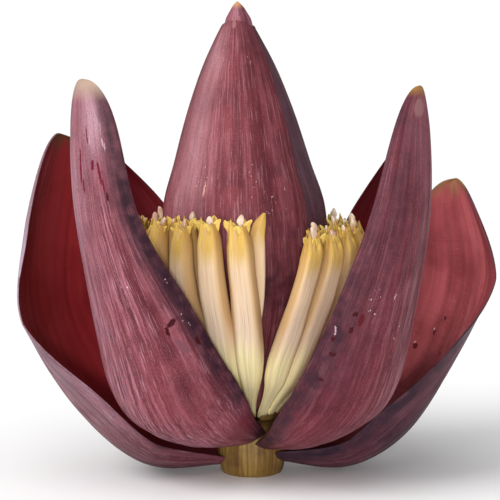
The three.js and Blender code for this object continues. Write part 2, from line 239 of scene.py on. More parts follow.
def end_edit():
    bpy.ops.object.mode_set(mode="OBJECT")


def only(piece):
    bpy.ops.object.select_all(action="DESELECT")
    piece.select_set(True)
    bpy.context.view_layer.objects.active = piece


def grid(name, columns, rows):
    """A flat square metre cut into columns and rows; its corners run from -0.5 to 0.5."""
    bpy.ops.object.select_all(action="DESELECT")
    bpy.ops.mesh.primitive_grid_add(x_subdivisions=columns, y_subdivisions=rows, size=1, calc_uvs=True)
    piece = bpy.context.object
    piece.name = name
    return piece


def put_points(piece, places):
    """Moves the piece's points to their places, given in mm."""
    for vertex, place in zip(piece.data.vertices, places):
        vertex.co = place * MM


def keep(piece, name, values):
    """Stores one vector for each point, for the materials to read."""
    held = piece.data.attributes.new(name, "FLOAT_VECTOR", "POINT")
    held.data.foreach_set("vector", [c for value in values for c in value])


def weld(piece, within=MERGE, fill=False, outwards=True):
    """Joins the points that meet at a seam or a pole, fills what is still open, and turns the faces
    outwards."""
    only(piece)
    start_edit("VERT")
    bpy.ops.mesh.select_all(action="SELECT")
    bpy.ops.mesh.remove_doubles(threshold=within * MM)
    if fill:
        bpy.ops.mesh.select_all(action="DESELECT")
        bpy.ops.mesh.select_non_manifold()
        bpy.ops.mesh.fill()
        bpy.ops.mesh.select_all(action="SELECT")
    if outwards:
        bpy.ops.mesh.normals_make_consistent(inside=False)
    end_edit()


def apply_modifier(piece, kind, **settings):
    made = piece.modifiers.new(kind.lower(), kind)
    for name, value in settings.items():
        setattr(made, name, value)
    bpy.ops.object.modifier_apply(modifier=made.name)


def join(parts):
    only(parts[0])
    for part in parts[1:]:
        part.select_set(True)
    bpy.ops.object.join()
    return bpy.context.object


def finish_piece(piece, node):
    bpy.ops.object.select_all(action="DESELECT")
    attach(piece, "root")
    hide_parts(node)


def swells(relief, seed, t, s):
    """Smooth waves in a skin, mm outwards. Each has its waves across and lengthwise, its shift and its
    height."""
    total = 0
    for across, lengthwise, shift, rise in relief:
        total += noise.noise(Vector((t * across + seed, s * lengthwise, shift + seed))) * rise
    return total


def make_wall(piece, node, skins, zones, thins, thickness, outside, inside):
    """Gives a bract's skin its thickness, mm, times each point's share in `thins`, and its two materials."""
    keep(piece, "skin", skins)
    keep(piece, "zones", zones)
    group = piece.vertex_groups.new(name="thickness")
    for vertex, thin in zip(piece.data.vertices, thins):
        group.add([vertex.index], thin, "REPLACE")
    weld(piece, outwards=False)
    piece.data.materials.append(outside)
    piece.data.materials.append(inside)
    apply_modifier(
        piece, "SOLIDIFY", thickness=thickness * MM, offset=0, vertex_group="thickness", material_offset=1)
    apply_modifier(piece, "SUBSURF", levels=1, render_levels=1)
    bpy.ops.object.shade_smooth()
    finish_piece(piece, node)


# ---- opened bracts ------------------------------------------------------------------------------
# `bearing` is the way each one points, in degrees. The lists hold values at equal steps from base to tip:
# reach from the axis and height of the midline, half of the width across the curve, how far round the curve
# turns on each side, its twist, how far the midline sways sideways, and how much wider the anticlockwise
# half is. `corner` is a place where the margin was creased and stands out: its side, its place, how far it
# reaches and stands out.
BRACTS = {
    "bract_front_left": dict(
        bearing=-131, reach=[12, 48, 75, 93, 109, 111], height=[16, 22.5, 41, 83, 140, 203],
        half=[16, 39, 44, 34, 22, 20], curl=[51, 63, 76, 68, 62, 45],
        twist=[1, 18, 3], sway=[0, 5, -6], lop=[0.08, 0, 0.02, 0.05, -0.04, -0.06], corner=None),
    "bract_front_right": dict(
        bearing=-46, reach=[12, 53, 82, 98, 110, 110], height=[14, 25, 46, 85, 138, 200],
        half=[8, 34, 40, 34, 26, 16.5], curl=[46, 56, 64, 67, 60, 42],
        twist=[4, -2, 2], sway=[0, -3, -0.5], lop=[0.04, 0, 0.12], corner=None),
    "bract_left": dict(
        bearing=169, reach=[12, 52, 85, 106, 110, 102], height=[4, 5.5, 35, 78, 119, 169],
        half=[12, 42, 49, 45, 36, 30], curl=[44, 58, 58, 32, 41, 42],
        twist=[1, -6, -22], sway=[0, 12, -12], lop=[-0.06, 0.13, -0.08], corner=(1, 0.58, 0.14, 4)),
    "bract_right": dict(
        bearing=11.5, reach=[12, 49, 79, 101, 113, 103], height=[7, 3, 19, 55, 100, 148],
        half=[18, 40, 48, 45, 37, 26], curl=[54, 69, 66, 48, 32, 44],
        twist=[9, -4, 25], sway=[0, -3, -9], lop=[0, 0, 0.12], corner=(-1, 0.81, 0.14, 3.9)),
    "bract_back_left": dict(
        bearing=134, reach=[12, 42, 68, 90, 106, 115], height=[19, 28, 47, 79, 121, 157],
        half=[9, 32, 42, 35, 29, 9], curl=[40, 60, 66, 60, 50, 45],
        twist=[0, -10, -12], sway=[0, 2, 0], lop=[-0.1, -0.13, 0], corner=None),
    "bract_back_right": dict(
        bearing=42, reach=[12, 42, 68, 90, 105, 113], height=[18, 28, 47, 80, 122, 166],
        half=[9, 32, 39, 32, 24, 6], curl=[40, 60, 66, 62, 56, 48],
        twist=[0, 10, 12], sway=[0, -2, 0], lop=[0, 0.1, 0.12], corner=None),
}
BRACT_THICKNESS = 1.9
BRACT_EDGE = 0.9
BRACT_COLUMNS = 48
BRACT_ROWS = 84
BRACT_CROWDING = 1.3  # the higher, the closer the rows stand at the tip
BRACT_LENGTH = 250  # along the skin, base to tip
BRACT_HALF = 44  # across the skin at the widest
BRACT_SETBACK = 4  # the corners of the base reach back round the stem by this much
BRACT_RELIEF = [(1.7, 3.0, 0, 1.1), (6.5, 1.3, 4.0, 0.55), (21, 2.2, 9.0, 0.3)]  # waves, folds and ribs
STEP_ALONG, STEP_ACROSS = 0.004, 0.02  # steps in s and t that give the skin's slope


def bract_point(b, s, t):
    """Midway through the thickness: s runs from base to tip, t from the clockwise margin (-1) to the
    other."""
    bearing = math.radians(b["bearing"])
    outward = Vector((math.cos(bearing), math.sin(bearing), 0))
    sideways = Vector((-math.sin(bearing), math.cos(bearing), 0))

    def midline(u):
        place = outward * along(b["reach"], u) + sideways * along(b["sway"], u)
        place.z = along(b["height"], u)
        return place

    onwards = (midline(min(s + 1e-4, 1)) - midline(max(s - 1e-4, 0))).normalized()
    across = (sideways - onwards * sideways.dot(onwards)).normalized()
    inward = onwards.cross(across)
    twist = math.radians(along(b["twist"], s))
    a = across * math.cos(twist) + inward * math.sin(twist)
    n = inward * math.cos(twist) - across * math.sin(twist)
    half = along(b["half"], s) * math.sqrt(clamp(1 - s ** 14))
    curl = math.radians(along(b["curl"], s))
    share = t * (1 + math.copysign(1, t) * along(b["lop"], s))
    radius = half / curl
    bend = 0
    if b["corner"] and t * b["corner"][0] > 0:
        _, at, spread, push = b["corner"]
        bend = push * clamp(1 - abs(s - at) / spread) ** 1.5 * abs(t) ** 3
    return (midline(s) + a * radius * math.sin(curl * share)
            + n * (radius * (1 - math.cos(curl * share)) - bend)
            - onwards * BRACT_SETBACK * t * t * clamp(1 - 6 * s))


def make_bract(name, b, seed, outside, inside):
    piece = grid(name + "_skin", BRACT_COLUMNS, BRACT_ROWS)
    skins, zones, places, thins = [], [], [], []
    for vertex in piece.data.vertices:
        t = 2 * vertex.co.x
        s = 1 - (1 - clamp(vertex.co.y + 0.5)) ** BRACT_CROWDING
        near = min(s, 0.995)
        up = bract_point(b, near + STEP_ALONG, t) - bract_point(b, near - STEP_ALONG, t)
        over = bract_point(b, near, min(t + STEP_ACROSS, 1)) - bract_point(b, near, max(t - STEP_ACROSS, -1))
        out = over.cross(up).normalized()
        # The swells fade out towards the margins, the base and the tip, and the margins wander a little.
        rise = swells(BRACT_RELIEF, seed, t, s) * (1 - 0.6 * smooth(0.8, 1.0, abs(t)))
        rise *= smooth(0, 0.12, s) * (1 - smooth(0.93, 1.0, s))
        wander = noise.noise(Vector((s * 9, seed, math.copysign(3, t)))) * 0.006 * abs(t) ** 5
        places.append(bract_point(b, s, clamp(t + wander, -1.03, 1.03)) + out * rise + AXIS)
        *zone, ribs = skin_zones(FINISH[name], seed, s, t, (1 - abs(t)) * along(b["half"], s))
        skins.append((t * BRACT_HALF, s * BRACT_LENGTH, ribs))
        zones.append(zone)
        thins.append(mix(1, BRACT_EDGE / BRACT_THICKNESS, max(abs(t) ** 4, s ** 10)))
    put_points(piece, places)
    make_wall(piece, name, skins, zones, thins, BRACT_THICKNESS, outside, inside)


# ---- heart --------------------------------------------------------------------------------------
# Height with the heart's radius, and height with how far its middle leans: below 0 is to the left. The bud
# lies under that round by its depth, and its point has heights and radii of its own.
HEART_BASE = 33
HEART_ROUND = [
    (33, 8.5), (45, 14.5), (60, 22), (80, 31.5), (98, 39), (115, 42.5), (134, 41.5), (158, 34.4),
    (180, 27.6), (198, 21), (208, 16.8), (215, 13.4), (222, 9.8), (225, 8.1), (228, 6.5)]
HEART_LEAN = [(33, 0), (80, -1), (110, -2.5), (134, -4), (180, -5.3), (236, -7.2)]
HEART_BUD_DEPTH = 4
HEART_BUD_POINT = [(222, 7.2), (225, 6.6), (228, 5.9), (229.9, 4.9), (232.4, 3.4), (234.9, 1.9), (236.5, 0.4)]
HEART_BRACT_THICKNESS = 1.2
# Bearing of the middle and half of the arc, each low down and high up, height of the tip, and how deep the
# skin lies at the clockwise margin, in the middle and at the other margin.
HEART_BRACTS = {
    "heart_bract_front": dict(bearing=(-103, -109), half=(60, 78), tip=228, depth=[0, 0, 0]),
    "heart_bract_right": dict(bearing=(-2, -2), half=(74, 74), tip=225, depth=[2, 1, 0]),
    "heart_bract_back": dict(bearing=(137, 137), half=(78, 78), tip=222, depth=[2, 1, 2]),
}
HEART_COLUMNS = 44
HEART_ROWS = 72
HEART_CROWDING = 1.5
HEART_HALF = 50  # across the skin at the widest
HEART_RELIEF = [(2.2, 2.0, 0, 0.7), (15, 1.1, 5, 0.42)]  # broad waves and ribs
BUD_COLUMNS = 48
BUD_ROWS = 90
BUD_CROWDING = 1.8
BUD_ROUND = 60  # across the skin, all the way round
BUD_WRAP = 0.7  # how far the outermost inner bract's margin stands off at the tip
BUD_SEAM = -80  # bearing of that margin


def heart_round(z):
    return by_height(HEART_ROUND, z)


def heart_lean(z):
    return by_height(HEART_LEAN, z)


def round_axis(z, radius, bearing):
    """A point at a height, a radius from the heart's own leaning axis, and a bearing in degrees."""
    angle = math.radians(bearing)
    return Vector((heart_lean(z) + radius * math.cos(angle), radius * math.sin(angle), z))


def make_heart_bract(name, b, seed, outside, inside):
    piece = grid(name + "_skin", HEART_COLUMNS, HEART_ROWS)
    skins, zones, places, thins = [], [], [], []
    for vertex in piece.data.vertices:
        t = 2 * vertex.co.x
        u = 1 - (1 - clamp(vertex.co.y + 0.5)) ** HEART_CROWDING
        thins.append(1 - 0.65 * smooth(0.88, 1, u))
        z = mix(HEART_BASE, b["tip"], u) - 1.5 * t * t * smooth(0.95, 1, u)
        bearing = mix(*b["bearing"], u ** 3)
        half = mix(*b["half"], u ** 3) * math.sqrt(max(1 - u ** 160, 0))
        depth = along(b["depth"], (t + 1) / 2) * mix(1, 0.6, u ** 8) + HEART_BRACT_THICKNESS * thins[-1] / 2
        rise = swells(HEART_RELIEF, seed, t, u) * (1 - smooth(0.85, 1, u))
        rise *= 1 - 0.5 * smooth(0.9, 1, abs(t))
        places.append(round_axis(z, heart_round(z) - depth + rise, bearing + half * t) + AXIS)
        margin = (1 - abs(t)) * math.radians(half) * heart_round(z)
        *zone, ribs = skin_zones(FINISH[name], seed, z / b["tip"], t, margin)
        skins.append((t * HEART_HALF, z, ribs))
        zones.append(zone)
    put_points(piece, places)
    make_wall(piece, name, skins, zones, thins, HEART_BRACT_THICKNESS, outside, inside)


def make_heart_bud(material):
    """The inner bud, closed all round: its tip shows one bract wrapped over the next."""
    heights = (HEART_BASE, 60, 80, 98, 115, 134, 158, 180, 200, 213)
    profile = [(z, heart_round(z) - HEART_BUD_DEPTH) for z in heights] + HEART_BUD_POINT
    piece = grid("heart_bud_skin", BUD_COLUMNS, BUD_ROWS)
    skins, zones, places = [], [], []
    for vertex in piece.data.vertices:
        share = vertex.co.x + 0.5
        up = 1 - (1 - clamp(vertex.co.y + 0.5)) ** BUD_CROWDING
        z = mix(HEART_BASE, HEART_BUD_POINT[-1][0], up)
        turn = 360 * share
        wrap = BUD_WRAP * smooth(0, 0.03, share) * (1 - share)
        wrap *= smooth(215, 222, z) * (1 - smooth(233, 236, z))
        radius = by_height(profile, z) + wrap
        places.append(round_axis(z, radius, turn + BUD_SEAM) + AXIS)
        margin = radius * math.radians(turn)
        *zone, ribs = skin_zones(FINISH["heart_bud"], 7, up, 2 * share - 1, margin)
        skins.append((share * BUD_ROUND, z, ribs))
        zones.append(zone)
    put_points(piece, places)
    keep(piece, "skin", skins)
    keep(piece, "zones", zones)
    weld(piece, within=0.05, fill=True)
    bpy.ops.object.shade_smooth()
    piece.data.materials.append(material)
    finish_piece(piece, "heart_bud")


# ---- flowers ------------------------------------------------------------------------------------
# Hands: bearings of the first and last flower of the outer row, at the tops and at the bases, the height of
# their rims, how many flowers the outer row holds, and the bearings of those behind it.
HANDS = {
    "hand_front_left": dict(tops=(-136, -93), bases=(-145, -90), rim=133, outer=4, inner=[-139, -124]),
    "hand_front_right": dict(tops=(-54, -16), bases=(-71, -20), rim=127, outer=4, inner=[-44, -31, -18]),
    "hand_back_right": dict(tops=(6, 75), bases=(5, 75), rim=125, outer=6, inner=[9, 26, 50, 71]),
    "hand_back_left": dict(
        tops=(99, 200), bases=(100, 190), rim=125, outer=8, inner=[103, 119, 141, 166, 190]),
}
# The petal that has come free of the front left hand's last flower: height, how far it stands to that
# flower's right and in front of the heart, and its width.
FREE_PETAL = [
    (68, 4, 12, 0.6), (84, 5.6, 11.5, 4), (98, 7.2, 11, 6), (112, 8.2, 10, 6.6), (126, 8.6, 9.5, 7.2),
    (133, 10.2, 9.5, 5.6), (138, 12.6, 9.5, 0.8)]
PETAL_COLUMNS = 10
PETAL_ROWS = 40
PETAL_THICKNESS = 0.8
FLOWER_BASE = 31
# A flower is modelled at this length, width and thickness, then set at its own size.
FLOWER_LENGTH, FLOWER_WIDTH, FLOWER_THICKNESS = 100, 15.8, 9.6
# How far a flower's middle stands off the heart at its base and above, its width and its thickness.
OUTER_ROW = dict(off=(6, 14.5), width=15.6, thickness=9.6)
INNER_ROW = dict(off=(5, 5.6), width=13, thickness=8.4)
# Height, and how wide the tube is there: 1 is the widest.
FLOWER_PROFILE = [
    (0, 0.3), (6, 0.36), (12, 0.46), (20, 0.7), (27, 0.88), (42, 1), (62, 0.93), (82, 0.87), (93, 0.82)]
FLOWER_BEND = 1.7  # the higher, the nearer the rim a flower turns from its base's bearing to its top's
# The tube has six faces: the bearing of each, where 90 is outwards, and its distance from the middle.
FLOWER_FACES = [(90, 4.8), (25, 6.6), (155, 6.6), (-40, 6.95), (220, 6.95), (-90, 4.8)]
FLOWER_EDGE = 9  # the higher, the sharper the edges between the faces
TUBE_CORNERS = 40
TUBE_CUTS = 34
TUBE_TOP = 99
MOUTH = 93  # height of the mouth: from just below it the tube narrows and leans inwards
THROAT = 9  # how deep the mouth is
ROOT = MOUTH - 2  # where the lobes and the club are rooted
RIM = MOUTH + 2  # above this only lobes and clubs grow or shrink
# Free lobes round the mouth: where each is rooted, its length and width, and how far its point bends aside
# and out.
LOBES = [
    (-2.6, -0.4, 12.0, 4.6, -3.2, 0.8),
    (2.5, -0.6, 13.0, 4.8, 3.0, 0.5),
    (-1.4, -2.4, 14.0, 4.4, -2.4, -0.8),
    (2.0, -2.6, 13.0, 4.4, 2.0, -1.0),
    (0.3, 0.8, 9.5, 5.0, -0.8, 0.6),
]
LOBE_CORNERS = 10
LOBE_CUTS = 8
LOBE_TURN = 50  # keeps the lobes apart in what is stored for the material
STIGMA = (1.0, -1.8, 16.5, 1.7)  # where it is rooted, its length and radius
TUBE, LOBE, CLUB, PAD = 0, 1, 2, 3  # kinds of flesh, kept for the material


def face_distance(angle):
    """From the middle of a flower's section to its rounded six-sided outline, mm."""
    total = 0
    for bearing, distance in FLOWER_FACES:
        total += max(0, math.cos(angle - math.radians(bearing)) / distance) ** FLOWER_EDGE
    return total ** (-1 / FLOWER_EDGE)


def cut_across(piece, cuts):
    """Cuts the upright edges of a new cylinder or cone."""
    start_edit("EDGE")
    bpy.ops.mesh.select_all(action="DESELECT")
    end_edit()
    points = piece.data.vertices
    for edge in piece.data.edges:
        low, high = (points[i].co.z for i in edge.vertices)
        edge.select = abs(low - high) > 0.5
    start_edit("EDGE")
    bpy.ops.mesh.subdivide(number_cuts=cuts)
    end_edit()


def flower_tube():
    """The joined outer petals: a six-sided tube with a broad flat face outwards, narrowed to a ragged
    mouth."""
    bpy.ops.object.select_all(action="DESELECT")
    bpy.ops.mesh.primitive_cylinder_add(
        vertices=TUBE_CORNERS, radius=1, depth=1, location=(0, 0, 0.5), end_fill_type="TRIFAN")
    piece = bpy.context.object
    cut_across(piece, TUBE_CUTS)
    skins = []
    for vertex in piece.data.vertices:
        x, y, f = vertex.co
        f = 1 - (1 - clamp(f + 0.5)) ** 1.25
        angle = math.atan2(y, x)
        h = TUBE_TOP * f
        shell = math.hypot(x, y)
        hood = clamp((h - MOUTH + 3) / 9)
        wide = by_height(FLOWER_PROFILE, h) * shell * (1 - 0.4 * hood ** 1.6)
        reach = face_distance(angle) * wide * (1 + 0.02 * math.sin(5 * angle) * f)
        # The rim rises and falls in uneven points round a sunk middle.
        if shell > 0.5:
            h += (2.4 * math.sin(3 * angle + 0.6) + 1.5 * math.sin(8 * angle)) * hood ** 2
        elif f > 0.5:
            h -= THROAT
        vertex.co = (reach * math.cos(angle), reach * math.sin(angle) - 1.6 * hood ** 2, h)
        turned = (math.degrees(angle) + 90) % 360 - 180
        skins.append((turned, h, TUBE))
    keep(piece, "petal", skins)
    return piece


def flower_lobe(order, x, y, length, width, aside, out):
    """A free petal lobe: a flat horn, cupped, blunt and ragged, bent over at its point."""
    bpy.ops.object.select_all(action="DESELECT")
    bpy.ops.mesh.primitive_cone_add(
        vertices=LOBE_CORNERS, radius1=1, radius2=0.1, depth=1, location=(0, 0, 0.5))
    piece = bpy.context.object
    cut_across(piece, LOBE_CUTS)
    skins = []
    for vertex in piece.data.vertices:
        u, v, f = vertex.co
        f = clamp(f + 0.5)
        taper = 1 - 0.9 * f
        ragged = 1 + 0.14 * math.sin(11 * f + 2 * order)
        scale = width / 2 * (1 - 0.2 * f) * ragged * math.sqrt(clamp(1.03 - f ** 8)) / taper
        bend = f ** 2.4
        vertex.co = (
            x + u * scale + aside * bend,
            y + v * scale * 0.36 + u * u / taper * scale * 0.3 + out * bend,
            ROOT + length * f - 0.5 * bend * abs(aside))
        skins.append((order * LOBE_TURN + u / taper * 8, ROOT + length * f, LOBE))
    keep(piece, "petal", skins)
    return piece


def flower_stigma(x, y, rise, radius):
    """The blunt three-sided club that stands up out of the mouth."""
    bpy.ops.object.select_all(action="DESELECT")
    bpy.ops.mesh.primitive_uv_sphere_add(segments=12, ring_count=14, radius=1)
    piece = bpy.context.object
    skins = []
    for vertex in piece.data.vertices:
        u, v, w = vertex.co
        f = (w + 1) / 2
        turn = math.atan2(v, u)
        lumps = 1 + (0.24 * math.sin(3 * turn) + 0.14 * math.sin(4 * turn + 14 * f)) * smooth(0.5, 0.8, f)
        thick = radius * (0.6 + 0.5 * smooth(0.45, 0.8, f)) * lumps
        vertex.co = (x + u * thick, y + v * thick, ROOT + rise * f)
        skins.append((0, ROOT + rise * f, CLUB))
    keep(piece, "petal", skins)
    return piece


def model_flower():
    parts = [flower_tube()]
    parts += [flower_lobe(order, *lobe) for order, lobe in enumerate(LOBES)]
    parts.append(flower_stigma(*STIGMA))
    piece = join(parts)
    start_edit("VERT")
    bpy.ops.mesh.select_all(action="SELECT")
    bpy.ops.mesh.normals_make_consistent(inside=False)
    end_edit()
    bpy.ops.object.shade_smooth()
    return piece


def beside_heart(z, bearing, off, aside):
    """A point at a height, off the heart's round along a bearing, and aside of that, mm."""
    angle = math.radians(bearing)
    reach = heart_round(z) + off
    return AXIS + Vector((
        heart_lean(z) + reach * math.cos(angle) - aside * math.sin(angle),
        reach * math.sin(angle) + aside * math.cos(angle), z))


def place_flower(model, name, row, rim, top, base, chance):
    """A copy of the modelled flower, bent along the heart's swell between its base and its top bearing."""
    mesh = model.data.copy()
    mesh.name = name
    piece = bpy.data.objects.new(name, mesh)
    bpy.context.scene.collection.objects.link(piece)
    width = row["width"] * chance.uniform(0.94, 1.06) / FLOWER_WIDTH
    thickness = row["thickness"] / FLOWER_THICKNESS
    lean = chance.uniform(-1.0, 1.0)
    slope = chance.uniform(-0.25, 0.25)
    grows = [chance.uniform(0.5, 1.05) for _ in LOBES]
    bends = [chance.uniform(-3.2, 3.2) for _ in LOBES]
    club = chance.uniform(0.45, 0.95)
    seed = chance.uniform(0, 50)
    for vertex, petal in zip(mesh.vertices, mesh.attributes["petal"].data):
        x, y, h = vertex.co
        around, _, kind = petal.vector
        above = max(h - RIM, 0)
        if kind == LOBE:
            order = round(around / LOBE_TURN)
            above *= grows[order]
            x += bends[order] * (above / 10) ** 2
        elif kind == CLUB:
            above *= club
        else:
            h += slope * x * smooth(80, MOUTH + 5, h)
        h = min(h, RIM) + above
        shake = Vector((h * 0.05 + seed + 0.06 * above, x * 0.12, y * 0.12))
        x = x * width + noise.noise(shake) * (0.8 + 0.2 * above) + lean * above / 12
        y = y * thickness + noise.noise(shake + Vector((7, 0, 0))) * (0.5 + 0.2 * above)
        f = h / FLOWER_LENGTH
        bearing = mix(base, top, clamp(f) ** FLOWER_BEND)
        off = mix(*row["off"], clamp(f * 5)) + y
        vertex.co = beside_heart(mix(FLOWER_BASE, rim, f), bearing, off, x) * MM
    return piece


def make_free_petal(bearing):
    """A thin cupped strip whose point bends over to the right."""
    piece = grid("free_petal", PETAL_COLUMNS, PETAL_ROWS)
    skins = []
    for vertex in piece.data.vertices:
        across = 2 * vertex.co.x
        z = mix(FREE_PETAL[0][0], FREE_PETAL[-1][0], vertex.co.y + 0.5)
        aside, off, width = (by_height([(row[0], row[i]) for row in FREE_PETAL], z) for i in (1, 2, 3))
        cup = 1.1 * (1 - across * across) + 0.25 * noise.noise(Vector((across * 2, z * 0.08, 3)))
        vertex.co = beside_heart(z, bearing, off + cup, aside + across * width / 2) * MM
        # Coloured as the right side of a tube's front face; its tan left part is painted shade where it lies
        # by its flower.
        skins.append((across * 14 - 40, 0.9 * (z - FLOWER_BASE), TUBE))
    keep(piece, "petal", skins)
    only(piece)
    apply_modifier(piece, "SOLIDIFY", thickness=PETAL_THICKNESS * MM, offset=0)
    bpy.ops.object.shade_smooth()
    return piece


# Section of the pad, radius and height, and how many parts it is cut into round the stem and round the
# section.
CUSHION = [(6.8, 29.3), (16.6, 29.3), (17, 30), (17, 32), (16, 33), (7.5, 33), (6.8, 32.4), (6.8, 29.3)]
CUSHION_MIDDLE = (12, 31)
CUSHION_COLUMNS = 40
CUSHION_ROWS = 16


def between(points, f):
    """A place on the straight lines through some points, for f from 0 to 1. The other value counts the points
    passed."""
    step = f * (len(points) - 1)
    i = min(int(step), len(points) - 2)
    return [mix(a, b, step - i) for a, b in zip(points[i], points[i + 1])], step


def make_cushion(start, end):
    """The pad that a hand of flowers grows from, a bent bar with rounded ends."""
    piece = grid("cushion", CUSHION_COLUMNS, CUSHION_ROWS)
    for vertex in piece.data.vertices:
        (radius, z), step = between(CUSHION, vertex.co.y + 0.5)
        taper = math.sqrt(clamp(1 - abs(2 * vertex.co.x) ** 12))
        radius = mix(CUSHION_MIDDLE[0], radius, taper)
        z = mix(CUSHION_MIDDLE[1], z, taper) + 0.25 * noise.noise(Vector((vertex.co.x * 30, step, 1)))
        angle = math.radians(mix(start, end, vertex.co.x + 0.5))
        vertex.co = (AXIS + Vector((radius * math.cos(angle), radius * math.sin(angle), z))) * MM
    keep(piece, "petal", [(0, 0, PAD)] * len(piece.data.vertices))
    weld(piece)
    bpy.ops.object.shade_smooth()
    return piece


def make_hand(name, hand, seed, model, material):
    chance = random.Random(seed)
    first, last = hand["tops"]
    spacing = (hand["bases"][1] - hand["bases"][0]) / (hand["outer"] - 1)
    parts = [make_cushion(hand["bases"][0] - 0.45 * spacing, hand["bases"][1] + 0.45 * spacing)]
    stands = [(OUTER_ROW, mix(first, last, i / (hand["outer"] - 1))) for i in range(hand["outer"])]
    stands += [(INNER_ROW, top) for top in hand["inner"]]
    for i, (row, top) in enumerate(stands):
        f = clamp((top - first) / (last - first), 0.02, 0.98)
        rim = hand["rim"] + chance.uniform(-1.5, 1.5)
        parts.append(place_flower(model, f"{name}_{i}", row, rim, top, mix(*hand["bases"], f), chance))
    if name == "hand_front_left":
        parts.append(make_free_petal(last))
    piece = join(parts)
    piece.name = name + "_flowers"
    piece.data.materials.clear()
    piece.data.materials.append(material)
    finish_piece(piece, name)


# ---- stem ---------------------------------------------------------------------------------------
# Radius and height, from the middle of the cut face up the side to the middle of the top.
STEM_PROFILE = [
    (0, 0), (14.6, 0), (15.2, 0.2), (16, 1.5), (17.3, 8), (17.4, 13), (17, 20), (15.8, 26), (14, 29),
    (6.5, 29), (6.2, 31), (0, 31)]
STEM_TOP = 31
STEM_COLUMNS = 96
STEM_ROWS = 66
STEM_GIRTH = 104.4  # across the skin, all the way round


def make_stem(material):
    piece = grid("stem_flesh", STEM_COLUMNS, STEM_ROWS)
    skins, places = [], []
    for vertex in piece.data.vertices:
        share = vertex.co.x + 0.5
        (radius, z), _ = between(STEM_PROFILE, vertex.co.y + 0.5)
        angle = 2 * math.pi * share
        ring = Vector((math.cos(angle), math.sin(angle), 0))
        ridges = noise.noise(Vector((ring.x * 5, ring.y * 5, z * 0.03))) * 0.55
        ridges += noise.noise(Vector((ring.x * 14, ring.y * 14, z * 0.05))) * 0.3
        radius = max(radius - 0.3 + ridges * smooth(5, 14, radius), 0) if radius > 0 else 0
        places.append(AXIS + ring * radius + Vector((0, 0, z)))
        skins.append((share * STEM_GIRTH, z, radius))
    put_points(piece, places)
    keep(piece, "skin", skins)
    weld(piece)
    bpy.ops.object.shade_smooth_by_angle(angle=math.radians(40))
    piece.data.materials.append(material)
    finish_piece(piece, "stem")


# ---- skins --------------------------------------------------------------------------------------
# What is kept for the materials, for each point of a piece. "skin": mm across, mm along, and how strong the
# ribs are, or on the stem the radius. "zones": how much wax bloom, darkening and clear red there is. "petal":
# degrees round the tube, height and kind of flesh.
BLOOM, DARK, RED, RIBS = range(4)


def skin_zones(finish, seed, s, t, margin):
    """Shares of bloom, darkening, red and ribs at a point, which is `margin` mm from the nearest margin."""
    shares = [finish["bloom"], 0.0, 0.0, finish["ribs"]]
    patchy = noise.noise(Vector((t * 2.6 + seed, s * 6, seed)))
    fine = noise.noise(Vector((t * 9 + seed, s * 24, 3 + seed)))
    width, strength = finish["edges"][0 if t < 0 else 1]
    shares[DARK] = strength * (1 - smooth(0.25 * width, width, margin + 3 * patchy + fine))
    for at_s, at_t, reach_s, reach_t, which, strength in finish["zones"]:
        away = ((s - at_s) / reach_s) ** 2 + ((t - at_t) / reach_t) ** 2
        here = math.exp(-away * (1 + 0.7 * patchy))
        shares[which] = mix(shares[which], strength, here)
    return [clamp(share * (1 + 0.35 * patchy + 0.2 * fine)) for share in shares]


RED_SKIN = "#641c28"


